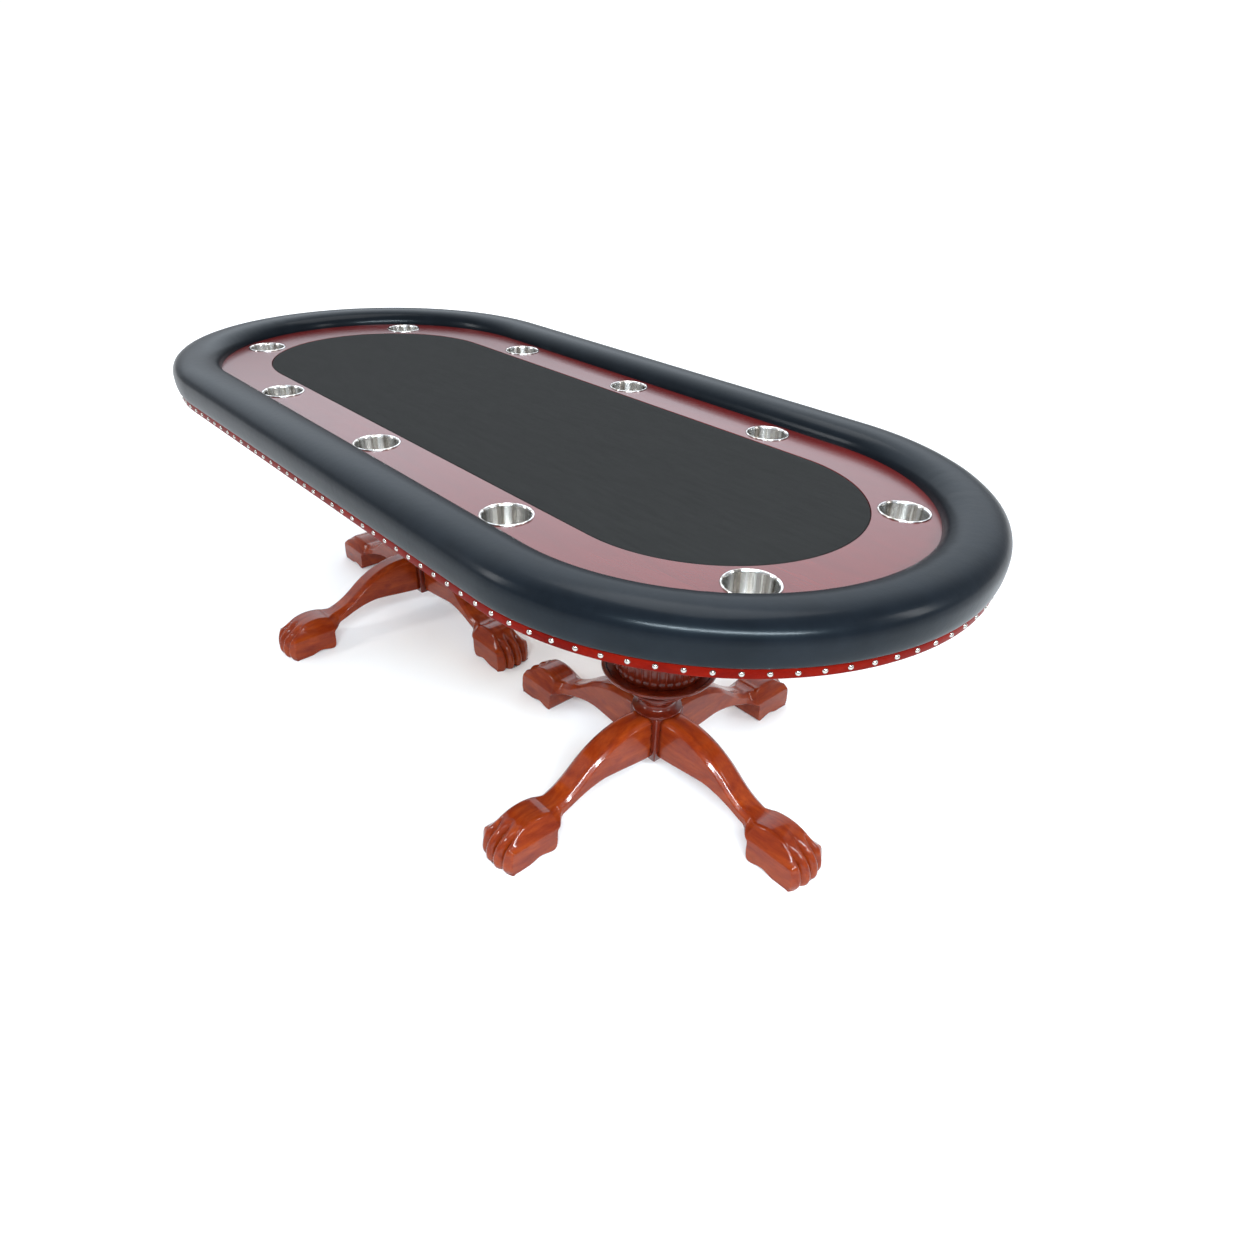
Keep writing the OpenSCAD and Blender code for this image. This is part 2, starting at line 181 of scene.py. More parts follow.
def lathe(name, outline, at=(0, 0, 0), steps=96, sharp=40):
    """A turned piece: a closed outline of radius against height, carried round a centre."""
    outline = np.array(outline, float)
    a = 2 * math.pi * np.arange(steps)[:, None] / steps
    points = np.stack([at[0] + outline[:, 0] * np.cos(a), at[1] + outline[:, 0] * np.sin(a),
                       at[2] + outline[:, 1] + 0 * a], axis=2)
    return grid(name, points, sharp=sharp)


def stadium_edge(radius, way):
    """The stadium of a radius as an edge of a plate; way is 1 for its outside, -1 for a hole."""
    def outline(inset):
        r = radius - way * inset
        return [(x + r * out_x, r * out_y) for x, out_x, out_y in stations(radius, 0.012)]
    return outline


def round_edge(x, y, radius, steps=96):
    """A round hole as an edge of a plate."""
    def outline(inset):
        r = radius + inset
        return [(x + r * math.cos(a), y + r * math.sin(a))
                for a in 2 * math.pi * np.arange(steps) / steps]
    return outline


def plate(name, edges, z_low, z_high, bevel):
    """A flat board with eased edges. Each edge is a function of how far it lies in the wood."""
    work = bmesh.new()
    ease = bevel * (1 - math.sqrt(0.5))
    profile = [(bevel, z_low), (ease, z_low + ease), (0, z_low + bevel),
               (0, z_high - bevel), (ease, z_high - ease), (bevel, z_high)]
    round_top, round_bottom = [], []
    for edge in edges:
        rings = [[work.verts.new((x, y, z)) for x, y in edge(inset)] for inset, z in profile]
        for low, high in zip(rings, rings[1:]):
            for k in range(len(low)):
                work.faces.new((low[k - 1], low[k], high[k], high[k - 1]))
        round_bottom += [work.edges.get((rings[0][k - 1], v)) for k, v in enumerate(rings[0])]
        round_top += [work.edges.get((rings[-1][k - 1], v)) for k, v in enumerate(rings[-1])]
    bmesh.ops.triangle_fill(work, edges=round_bottom, use_beauty=True, normal=(0, 0, -1))
    bmesh.ops.triangle_fill(work, edges=round_top, use_beauty=True, normal=(0, 0, 1))
    bmesh.ops.recalc_face_normals(work, faces=work.faces)
    work.edges.index_update()
    sharp_edges = [e.index for e in round_top + round_bottom]
    mesh = bpy.data.meshes.new(name)
    work.to_mesh(mesh)
    work.free()
    piece = link(name, mesh, sharp=50)
    for index in sharp_edges:
        mesh.edges[index].use_edge_sharp = True
    return piece


# Materials

def node(tree, kind, inputs=None, **settings):
    """A shader node. inputs maps sockets to a value, or to an output that is linked in."""
    made = tree.nodes.new(kind)
    for key, value in settings.items():
        setattr(made, key, value)
    for key, value in (inputs or {}).items():
        if isinstance(value, bpy.types.NodeSocket):
            tree.links.new(value, made.inputs[key])
        else:
            made.inputs[key].default_value = value
    return made


def shader(name, **constants):
    """A material with one Principled shader: the material, its tree and the shader."""
    material = bpy.data.materials.new(name)
    material.use_nodes = True
    tree = material.node_tree
    tree.nodes.clear()
    principled = node(tree, "ShaderNodeBsdfPrincipled")
    node(tree, "ShaderNodeOutputMaterial", {"Surface": principled.outputs[0]})
    for key, value in constants.items():
        principled.inputs[key.replace("_", " ")].default_value = value
    return material, tree, principled


def coordinates(tree, scale=(1, 1, 1)):
    """The object's own coordinates in metres, scaled. A small scale stretches the pattern."""
    here = node(tree, "ShaderNodeTexCoord").outputs["Object"]
    return node(tree, "ShaderNodeMapping", {"Vector": here, "Scale": scale}).outputs[0]


def noise_of(tree, where, scale, detail=4, roughness=0.5, distortion=0.0):
    return node(tree, "ShaderNodeTexNoise",
                {"Vector": where, "Scale": scale, "Detail": detail, "Roughness": roughness,
                 "Distortion": distortion}).outputs["Fac"]


def ramp(tree, value, *stops):
    """A colour ramp; each stop is a position and a colour."""
    made = node(tree, "ShaderNodeValToRGB", {"Fac": value})
    elements = made.color_ramp.elements
    while len(elements) < len(stops):
        elements.new(0.5)
    for element, (position, colour) in zip(elements, stops):
        element.position = position
        element.color = (*colour, 1)
    return made.outputs["Color"]


def spread(tree, value, low, high, start=0.0, end=1.0, **settings):
    """A value between start and end carried to the range from low to high."""
    return node(tree, "ShaderNodeMapRange",
                {"Value": value, "From Min": start, "From Max": end, "To Min": low,
                 "To Max": high}, **settings).outputs["Result"]


def vector_math(tree, operation, *values):
    """A sum on vectors: the node's outputs, Vector and Value."""
    return node(tree, "ShaderNodeVectorMath", dict(enumerate(values)),
                operation=operation).outputs


def mix(tree, factor, a, b, how="MIX"):
    made = node(tree, "ShaderNodeMix", data_type="RGBA", blend_type=how)
    for key, value in ((0, factor), (6, a), (7, b)):
        if isinstance(value, bpy.types.NodeSocket):
            tree.links.new(value, made.inputs[key])
        else:
            made.inputs[key].default_value = value if key == 0 else (*value, 1)
    return made.outputs[2]


def bump(tree, height, distance, strength=1.0, under=None):
    inputs = {"Height": height, "Distance": distance, "Strength": strength}
    if under is not None:
        inputs["Normal"] = under
    return node(tree, "ShaderNodeBump", inputs).outputs["Normal"]


def wire(tree, principled, colour, roughness, normal):
    """Links what varies over the surface into the shader."""
    for key, value in (("Base Color", colour), ("Roughness", roughness), ("Normal", normal)):
        tree.links.new(value, principled.inputs[key])


def wood(name, dark, middle, light, along, rough, coat=0.0, gloss=0.5, pores=0.5):
    """Finished wood. along is the pattern's scale on each axis, small along the grain. pores
    is how much the fibres darken it."""
    material, tree, principled = shader(name, Coat_Weight=coat, Coat_Roughness=0.06,
                                        Specular_IOR_Level=gloss)
    where = coordinates(tree, along)
    figure = noise_of(tree, where, 26, 6, 0.62, 1.2)
    patches = noise_of(tree, coordinates(tree), 9, 3, 0.5, 0.4)
    fibres = noise_of(tree, where, 190, 3, 0.7)
    colour = ramp(tree, figure, (0.28, dark), (0.5, middle), (0.74, light))
    colour = mix(tree, spread(tree, patches, 0.0, 0.55), colour, dark)
    shade = ramp(tree, fibres, (0.36, (0.45, 0.4, 0.4)), (0.56, (1, 1, 1)))
    colour = mix(tree, pores, colour, shade, "MULTIPLY")
    wire(tree, principled, colour, spread(tree, fibres, rough, rough + 0.07),
         bump(tree, fibres, 0.00004))
    return material


def black_vinyl():
    """Smooth upholstery vinyl with a fine pebbled grain."""
    material, tree, principled = shader("black_vinyl", Specular_IOR_Level=0.045,
                                        Specular_Tint=(0.62, 0.84, 1.0, 1.0), Coat_Weight=0.17,
                                        Coat_Roughness=0.20)
    where = coordinates(tree)
    cells = node(tree, "ShaderNodeTexVoronoi", {"Vector": where, "Scale": 900.0},
                 feature="SMOOTH_F1").outputs["Distance"]
    wear = noise_of(tree, where, 14, 4, 0.6)
    colour = ramp(tree, wear, (0.3, (0.0028, 0.0042, 0.0062)), (0.7, (0.0048, 0.0068, 0.0098)))
    creases = bump(tree, noise_of(tree, where, 55, 3, 0.6), 0.00025)
    wire(tree, principled, colour, spread(tree, wear, 0.29, 0.36),
         bump(tree, cells, 0.00006, 0.6, creases))
    return material


def felt():
    """Woven playing cloth: fine threads both ways, with a little lint."""
    material, tree, principled = shader("playing_cloth", Specular_IOR_Level=0.05,
                                        Sheen_Weight=0.02, Sheen_Roughness=0.5)
    where = coordinates(tree)
    warp, weft = (node(tree, "ShaderNodeTexWave",
                       {"Vector": where, "Scale": 260.0, "Distortion": 0.6},
                       bands_direction=way).outputs["Fac"] for way in "XY")
    threads = node(tree, "ShaderNodeMath", {0: warp, 1: weft}, operation="ADD").outputs[0]
    lines = noise_of(tree, coordinates(tree, (0.15, 1, 1)), 90, 4, 0.6)
    lint = noise_of(tree, where, 1400, 2, 0.6)
    colour = ramp(tree, lines, (0.3, (0.0130, 0.0128, 0.0125)), (0.7, (0.0162, 0.0160, 0.0157)))
    shade = ramp(tree, lint, (0.4, (0.75, 0.75, 0.75)), (0.62, (1.35, 1.35, 1.35)))
    colour = mix(tree, 0.25, colour, shade, "MULTIPLY")
    wire(tree, principled, colour, spread(tree, lint, 0.82, 0.95),
         bump(tree, threads, 0.00012, 0.5))
    return material


def outwards(tree):
    """The level direction out from the middle of each piece's own box, and the distance."""
    here = node(tree, "ShaderNodeTexCoord").outputs["Generated"]
    from_middle = vector_math(tree, "SUBTRACT", here, (0.5, 0.5, 0))["Vector"]
    level = vector_math(tree, "MULTIPLY", from_middle, (1, 1, 0))["Vector"]
    return (vector_math(tree, "NORMALIZE", level)["Vector"],
            vector_math(tree, "LENGTH", level)["Value"])


def metal(name, colour, rough, anisotropy=0.0, brush=(1, 1, 1), reflection_band_colour=None):
    """Bare or plated metal with fine brushing across the axes that brush makes large, and
    upright bands of painted reflection on a cup's wall, as dark as the colour given for them."""
    material, tree, principled = shader(name, Metallic=1.0, Anisotropic=anisotropy,
                                        Anisotropic_Rotation=0.25)
    lines = noise_of(tree, coordinates(tree, brush), 420, 4, 0.7)
    tarnish = noise_of(tree, coordinates(tree), 34, 3, 0.5)
    tint = ramp(tree, tarnish, (0.3, tuple(c * 0.93 for c in colour)), (0.7, colour))
    # Dark upright bands on a cup's wall, multiplied into the colour: a painted reflection, not
    # brushing.
    if reflection_band_colour:
        out, far = outwards(tree)
        bands = noise_of(tree, out, 2.6, 3, 0.62)
        on_wall = spread(tree, far, 0.0, 1.0, 0.38, 0.43)
        tint = mix(tree, on_wall, tint, ramp(tree, bands, (0.40, reflection_band_colour), (0.56, (1, 1, 1))),
                   "MULTIPLY")
    shade = ramp(tree, lines, (0.3, (0.90, 0.90, 0.90)), (0.7, (1, 1, 1)))
    wire(tree, principled, mix(tree, 0.5, tint, shade, "MULTIPLY"),
         spread(tree, lines, rough * 0.8, rough * 1.25), bump(tree, lines, 0.00001))
    if anisotropy:
        round_z = node(tree, "ShaderNodeTangent", direction_type="RADIAL", axis="Z")
        tree.links.new(round_z.outputs[0], principled.inputs["Tangent"])
    return material


def plywood_board():
    """Birch plywood: pale faces with long grain, and plies that show on the edges."""
    material, tree, principled = shader("plywood")
    plies = node(tree, "ShaderNodeTexWave",
                 {"Vector": coordinates(tree), "Scale": 110.0, "Distortion": 0.4},
                 bands_direction="Z").outputs["Fac"]
    figure = noise_of(tree, coordinates(tree, (0.1, 1, 1)), 42, 5, 0.6, 0.8)
    colour = ramp(tree, figure, (0.3, (0.40, 0.25, 0.13)), (0.7, (0.62, 0.43, 0.25)))
    shade = ramp(tree, plies, (0.35, (0.62, 0.55, 0.45)), (0.6, (1, 1, 1)))
    colour = mix(tree, 0.35, colour, shade, "MULTIPLY")
    wire(tree, principled, colour, spread(tree, figure, 0.5, 0.7), bump(tree, figure, 0.0002))
    return material


def soft_foam():
    """Cream upholstery foam with open pores, painted darker in their hollows as shade."""
    material, tree, principled = shader("foam")
    pores = node(tree, "ShaderNodeTexVoronoi",
                 {"Vector": coordinates(tree), "Scale": 700.0}).outputs["Distance"]
    # Darker near each cell's centre, where the bump is lowest: painted shade in the pores.
    colour = ramp(tree, pores, (0.1, (0.36, 0.29, 0.15)), (0.5, (0.72, 0.63, 0.42)))
    wire(tree, principled, colour, spread(tree, pores, 0.8, 0.95), bump(tree, pores, 0.0006))
    return material


FINISH = {
    "racetrack_mahogany": wood("racetrack_mahogany", (0.082, 0.0055, 0.0054),
                               (0.104, 0.0075, 0.0069), (0.126, 0.0105, 0.0090), (0.18, 1, 1),
                               0.20, coat=0.12, gloss=0.4, pores=0.10),
    "carved_mahogany": wood("carved_mahogany", (0.14, 0.013, 0.003), (0.23, 0.029, 0.004),
                            (0.33, 0.052, 0.006), (0.25, 1, 1), 0.18, coat=0.35, gloss=0.1,
                            pores=0.25),
    "turned_mahogany": wood("turned_mahogany", (0.07, 0.006, 0.002), (0.12, 0.012, 0.004),
                            (0.18, 0.022, 0.006), (1, 1, 0.25), 0.18, coat=0.25, gloss=0.2,
                            pores=0.25),
    "stained_edge": wood("stained_edge", (0.08, 0.0015, 0.0005), (0.14, 0.0035, 0.0005),
                         (0.18, 0.006, 0.0008), (0.3, 0.3, 1), 0.30, gloss=0.03, pores=0.2),
    "plywood": plywood_board(),
    "foam": soft_foam(),
    "playing_cloth": felt(),
    "black_vinyl": black_vinyl(),
    # The cups' steel: its last colour sets how dark the painted reflection bands on a cup's wall
    # are.
    "stainless": metal("stainless", (0.93, 0.925, 0.91), 0.22, 0.8, (1, 1, 14),
                       reflection_band_colour=(0.42, 0.38, 0.34)),
    "nickel": metal("nickel", (0.42, 0.40, 0.37), 0.17),
    "zinc_steel": metal("zinc_steel", (0.62, 0.63, 0.64), 0.34),
}


def place(piece, finish, body, replaced):
    """Gives a piece its material and slot, sets it on its body and hides what it stands for."""
    piece.data.materials.clear()
    piece.data.materials.append(FINISH[finish])
    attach(piece, body)
    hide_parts(*replaced)


# Table top

def cup_centre(number):
    low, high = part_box(f"cup_holder_{number}")
    return (low.x + high.x) / 2, (low.y + high.y) / 2


def bolt_places():
    """Where the rail's bolts pass through the boards."""
    made = [(x * BOLT_STEP, y * BOLT_LINE) for x in (-3, -1, 1, 3) for y in (-1, 1)]
    for a in np.radians(BOLT_ANGLES):
        made += [(s * (HALF + BOLT_LINE * math.cos(a)), BOLT_LINE * math.sin(a)) for s in (-1, 1)]
    return made


def boards():
    """The glossy racetrack, one veneer over its ten boards, and the two boards of the deck."""
    cups = [round_edge(*cup_centre(i), CUP_HOLE) for i in CUPS]
    bolts = [round_edge(x, y, BOLT_HOLE, 20) for x, y in bolt_places()]
    track_edge, track_hole = stadium_edge(TRACK_HIGH.y, 1), stadium_edge(CLOTH_HIGH.y + 0.001, -1)
    track = plate("racetrack_veneered", [track_edge, track_hole, *cups, *bolts],
                  TRACK_LOW.z, TRACK_HIGH.z, 0.0008)
    place(track, "racetrack_mahogany", "root", [f"racetrack_{w}" for w in WAYS])
    inside_rail = 0.014    # how far the deck's ring reaches in past the rail
    deck_hole = stadium_edge(RAIL_HIGH.y - RAIL_WIDTH - inside_rail, -1)
    deck = plate("deck_ring_board", [stadium_edge(DECK_HIGH.y, 1), deck_hole, *bolts],
                 DECK_LOW.z, DECK_HIGH.z, 0.0012)
    place(deck, "stained_edge", "root", ["deck_ring"])
    panel = plate("deck_panel_board", [stadium_edge(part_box("deck_panel")[1].y, 1)],
                  DECK_LOW.z, DECK_HIGH.z, 0.0012)
    place(panel, "plywood", "root", ["deck_panel"])


def cloth():
    """The playing cloth: a thin skin over the board, rounded over its edge and turned down."""
    radius, top, low = CLOTH_HIGH.y, CLOTH_HIGH.z, CLOTH_LOW.z
    skin, bend = 0.001, 0.003
    centre = (radius - bend, top - bend)

    def skin_line(inset):
        """The cloth's outer or inner line, from the spine to the hem."""
        line = [(r, top - inset) for r in np.linspace(0, radius - bend, 14)]
        for a in np.radians(np.arange(75, -1, -15)):
            reach = bend - inset
            line.append((centre[0] + reach * math.cos(a), centre[1] + reach * math.sin(a)))
        line += [(radius - inset, z) for z in np.linspace(top - bend, low, 5)[1:]]
        return line
    section = skin_line(0) + skin_line(skin)[::-1]
    places = stations(radius, 0.012)
    piece = sweep("playing_cloth_cover", section, places, sharp=60, closed=False)
    place(piece, "playing_cloth", "playing_field", ["playing_cloth"])


def field_foam():
    """The foam pad between the playing board and the cloth."""
    low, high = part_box("playing_foam")
    pad = plate("playing_foam_pad", [stadium_edge(high.y, 1)], low.z, high.z, 0.002)
    place(pad, "foam", "playing_field", ["playing_foam"])


def rail_line(inset):
    """The rail's outline in section from its inner edge over the crest to its lower edge."""
    middle, half = RAIL_HIGH.y - RAIL_WIDTH / 2, RAIL_WIDTH / 2 - inset
    base = TRACK_HIGH.z - 0.004
    rise = RAIL_HIGH.z - base - inset
    line = []
    for a in np.radians(np.linspace(180, 0, 61)):
        across = math.copysign(abs(math.cos(a)) ** (2 / RAIL_DOME), math.cos(a))
        z = base + rise * abs(math.sin(a)) ** (2 / RAIL_DOME)
        if a > math.pi / 2:
            z = max(z, TRACK_HIGH.z + 0.0002)
        line.append((middle + half * across, z))
    side = RAIL_HIGH.y - inset - RAIL_TUCK
    for k in np.linspace(0, 1, 15)[1:]:
        line.append((side + RAIL_TUCK * math.sqrt(1 - k * k),
                     base - (base - RAIL_LOW.z - 0.0006) * k))
    return line


def rail():
    """The padded rail: a vinyl cover with faint gathers round the ends, over foam."""
    outer, inner = rail_line(0), rail_line(VINYL)
    section = outer + inner[::-1]
    spot = np.linspace(0, 1, len(outer))    # 0 at the inner edge, 1 at the lower edge
    gathered = np.clip(spot / 0.12, 0, 1) * np.clip((0.62 - spot) / 0.3, 0, 1)
    sideways = np.clip((spot - 0.45) / 0.2, 0, 1) * np.clip((1 - spot) / 0.08, 0, 1)
    gather_height, wave_height = 0.00042, 0.00035
    still = np.zeros(len(inner))

    def wrinkles(x, out_x, out_y):
        """How far the cover stands out: radial gathers at the ends, slow waves on its side."""
        on_end = min(1.0, abs(out_x) * 1.6)
        here = Vector((x + 0.5 * out_x, 0.5 * out_y, 0))
        gather = noise.noise(here * 34) + 0.5 * noise.noise(here * 71)
        patch = 0.35 + 0.65 * abs(noise.noise(here * 4 + Vector((7, 0, 0))))
        wave = noise.noise(here * 11 + Vector((0, 5, 0)))
        out = (gather_height * on_end * patch * gather * gathered
               + wave_height * wave * sideways)
        return np.concatenate([out, still])
    cover = sweep("rail_vinyl", section, stations(RAIL_HIGH.y, 0.008), wrinkles)
    place(cover, "black_vinyl", "root", ["rail_cover"])

    board, skirt = TRACK_HIGH.z, SKIRT_HIGH.y
    under_foam, gap = 0.013, 0.0002
    core_out, core_top = CORE_HIGH.y, CORE_HIGH.z
    core_in = RAIL_HIGH.y - RAIL_WIDTH + under_foam
    pad = [*rail_line(VINYL + gap), (skirt + gap, RAIL_LOW.z + 0.001), (skirt + gap, board + gap),
           (core_out + gap, board + gap), (core_out + gap, core_top + gap),
           (core_in - gap, core_top + gap), (core_in - gap, board + gap)]
    foam = sweep("rail_foam", pad, stations(RAIL_HIGH.y, 0.016))
    place(foam, "foam", "root", ["rail_padding"])


def nail_shape():
    """One upholstery nail along +Z: points and faces of a domed head on a short shank."""
    radius, height, shank = 0.0048, 0.0032, 0.001
    ball = (radius ** 2 + height ** 2) / (2 * height)
    reach = math.asin(radius / ball)
    line = [(ball * math.sin(a), height - ball + ball * math.cos(a))
            for a in np.linspace(0, reach, 7)]
    line += [(radius - 0.0003, 0.0001), (shank, 0.0001), (shank, -0.010), (0, -0.012)]
    line, steps = np.array(line), 24
    a = 2 * math.pi * np.arange(steps)[:, None] / steps
    points = np.stack([line[:, 0] * np.cos(a), line[:, 0] * np.sin(a), line[:, 1] + 0 * a], axis=2)
    return points.reshape(-1, 3), np.array(grid_faces(steps, len(line), wrap_columns=False))


def nails():
    """The row of nickel nails round the deck's edge, in two halves as in the frame."""
    radius, z = DECK_HIGH.y, (DECK_LOW.z + DECK_HIGH.z) / 2
    arc, side = math.pi * radius, 2 * HALF
    pitch = 2 * (arc + side) / NAILS
    shape, faces = nail_shape()
    for half in (0, 1):
        points, quads = [], []
        for i in range(NAILS // 2):
            s = pitch * (i + 0.5)
            if s < side:
                x, y, angle = HALF - s, radius, math.pi / 2
            else:
                angle = math.pi / 2 + (s - side) / radius
                x, y = -HALF + radius * math.cos(angle), radius * math.sin(angle)
            out = Vector((math.cos(angle), math.sin(angle), 0))
            turn = np.array([(0, 0, 1), (-out.y, out.x, 0), out]).T
            points.append(shape @ turn.T + (x, y, z))
            quads.append(faces + i * len(shape))
        points = np.concatenate(points)
        if half:
            points[:, :2] *= -1
        name = f"edge_nails_{half + 1}"
        piece = build(name + "_domes", points.tolist(), np.concatenate(quads).tolist())
        place(piece, "nickel", "root", [name])


def cups():
    """The ten drop-in cups: a rolled rim, a brushed wall and a floor with a rounded corner."""
    wall, clear = 0.001, 0.00005
    for number in CUPS:
        low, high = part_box(f"cup_holder_{number}")
        x, y = cup_centre(number)
        rim, depth = (high.x - low.x) / 2, TRACK_HIGH.z - low.z
        roll = bezier((rim, 0), (rim + 0.0001, 0.0022), (rim - 0.0010, 0.00265),
                      (rim - 0.0024, 0.00260), 8)
        lip = bezier((rim - 0.0024, 0.00260), (CUP_BODY + 0.0012, 0.0022),
                     (CUP_BODY - wall, 0.0010), (CUP_BODY - wall, -0.004), 8)
        inner = bezier((CUP_BODY - 0.0022, -depth + 0.008), (CUP_BODY - 0.0024, -depth + 0.0016),
                       (CUP_BODY - 0.0075, -depth + 0.0012), (CUP_BODY - 0.010, -depth + wall), 6)
        outline = [(0, -depth), (CUP_BODY - 0.006, -depth), (CUP_BODY - 0.003, -depth + 0.0015),
                   (CUP_BODY - 0.0015, -depth + 0.005), (CUP_BODY, -0.0005), (rim - 0.0006, 0),
                   *roll, *lip[1:], *inner, (CUP_BODY * 0.4, -depth + wall + 0.0002),
                   (0, -depth + wall)]
        piece = lathe(f"cup_{number}_steel", outline, (x, y, TRACK_HIGH.z + clear), 128)
        place(piece, "stainless", f"cup_{number}", [f"cup_holder_{number}"])


# Pedestals

def turned_piece(side, node_name, outline, radius=0.0025):
    """A turned part of a pedestal, bored for the tie rod. Its outline is listed upwards."""
    closed = [(ROD_BORE, outline[0][1]), *outline, (ROD_BORE, outline[-1][1])]
    piece = lathe(f"{side}_{node_name}_turned", rounded(closed, radius), (PEDESTALS[side], 0, 0),
                  128)
    place(piece, "turned_mahogany", "root", [f"{side}_{node_name}"])


def capital(side):
    """The moulding under the top plate: a bead, a cove and a square edge."""
    low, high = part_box(f"{side}_capital")
    z, top, radius = low.z, high.z, high.y
    bead = bezier((0.088, z + 0.001), (0.101, z + 0.003), (0.101, z + 0.015),
                  (0.088, z + 0.017), 10)
    cove = bezier((0.085, z + 0.023), (0.086, z + 0.040), (0.104, z + 0.045),
                  (radius - 0.002, z + 0.050), 14)
    turned_piece(side, "capital", [(0.084, z), *bead, (0.084, z + 0.019), *cove,
                                   (radius, z + 0.053), (radius, top)])


def urn(side):
    """The fluted drum: round-ended flutes between narrow ridges, down to its foot."""
    low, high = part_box(f"{side}_urn")
    z, top, radius = low.z, high.z, high.y
    flutes, per_flute = 38, 14
    belly = bezier((0.1085, z + 0.005), (radius + 0.001, z + 0.085), (radius + 0.002, z + 0.170),
                   (0.106, top - 0.060), 120)
    shoulder = bezier((0.104, top - 0.058), (0.084, top - 0.044), (0.072, top - 0.030),
                      (0.078, top - 0.014), 14)
    outline = np.array([(ROD_BORE, z), (0.104, z), (0.1072, z + 0.001), (0.1082, z + 0.003),
                        *belly, *shoulder, (0.083, top - 0.0125), (0.084, top - 0.011),
                        (0.084, top), (ROD_BORE, top)])
    start, end, round_end = z + 0.0135, top - 0.070, 0.011
    flute_width, flute_depth, least_radius = 0.86, 0.0044, 0.09
    columns = flutes * per_flute
    angle = 2 * math.pi * np.arange(columns)[:, None] / columns
    across = np.abs((np.arange(columns) % per_flute) / per_flute * 2 - 1)[:, None]
    height = outline[:, 1][None, :]
    near_end = np.clip(np.minimum(height - start, end - height) / round_end, 0, 1)
    wide = flute_width * np.sqrt(1 - (1 - near_end) ** 2)
    inside = np.clip(1 - (across / np.maximum(wide, 1e-4)) ** 2, 0, 1)
    on_belly = (outline[:, 0] > least_radius)[None, :] & (near_end > 0)
    depth = flute_depth * np.sqrt(inside) * wide * on_belly
    r = outline[:, 0][None, :] - depth
    points = np.stack([PEDESTALS[side] + r * np.cos(angle), r * np.sin(angle), height + 0 * r],
                      axis=2)
    piece = grid(f"{side}_urn_fluted", points, sharp=32)
    place(piece, "turned_mahogany", "root", [f"{side}_urn"])


def collar(side):
    """The dished ring under the urn, with a raised lip."""
    low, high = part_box(f"{side}_collar")
    z, lip, radius = low.z, high.z, high.y
    seat = lip - 0.007
    bowl = bezier((0.070, z + 0.004), (0.084, z + 0.030), (0.112, z + 0.026),
                  (radius - 0.003, lip - 0.010), 20)
    turned_piece(side, "collar", [(0.070, z), *bowl, (radius, seat), (radius, lip - 0.002),
                                  (radius - 0.003, lip), (radius - 0.009, lip),
                                  (radius - 0.014, seat)], 0.0018)


def stem(side):
    """The turned neck between the hub and the collar: a cove, a bead and a ring."""
    low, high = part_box(f"{side}_stem")
    z, top = low.z, high.z
    cove = bezier((0.052, z + 0.008), (0.038, z + 0.012), (0.038, z + 0.026),
                  (0.044, z + 0.031), 12)
    bead = bezier((0.046, z + 0.032), (0.052, z + 0.034), (0.052, z + 0.044),
                  (0.046, z + 0.046), 10)
    ring = bezier((0.066, top - 0.016), (0.080, top - 0.014), (0.080, top - 0.002),
                  (0.068, top), 12)
    turned_piece(side, "stem", [(0.060, z), (0.060, z + 0.006), *cove, *bead, (0.042, z + 0.049),
                                (0.062, top - 0.017), *ring], 0.0015)


def hub(side):
    """The square block that the legs are joined to, with a turned drop under it."""
    low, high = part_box(f"{side}_hub")
    x, post, base = PEDESTALS[side], high.y, low.z + 0.014
    square = rounded([(post, post), (-post, post), (-post, -post), (post, -post)], 0.004)
    angle = np.arctan2(square[:, 1], square[:, 0])
    circle = np.stack([np.cos(angle), np.sin(angle)], axis=1)
    drop = bezier((0.030, 0), (0.033, 0.001), (0.037, 0.008), (0.040, 0.012), 6)
    bored = [(ROD_BORE, high.z), (ROD_BORE, base), (0.016, base), (0.016, low.z),
             *[(r, low.z + dz) for r, dz in drop]]
    block = [(0.97, low.z + 0.012), (1.0, base), (1.0, high.z - 0.002), (0.97, high.z)]
    rings = []
    for shape, sizes in ((circle, bored), (square, block)):
        for size, z in sizes:
            rings.append(np.stack([x + size * shape[:, 0], size * shape[:, 1], z + 0 * angle],
                                  axis=1))
    piece = grid(f"{side}_hub_block", np.array(rings))
    place(piece, "turned_mahogany", "root", [f"{side}_hub"])


def soft_step(x, low, high):
    """0 below low, 1 above high, and an S curve between them."""
    t = np.clip((x - low) / (high - low), 0, 1)
    return t * t * (3 - 2 * t)


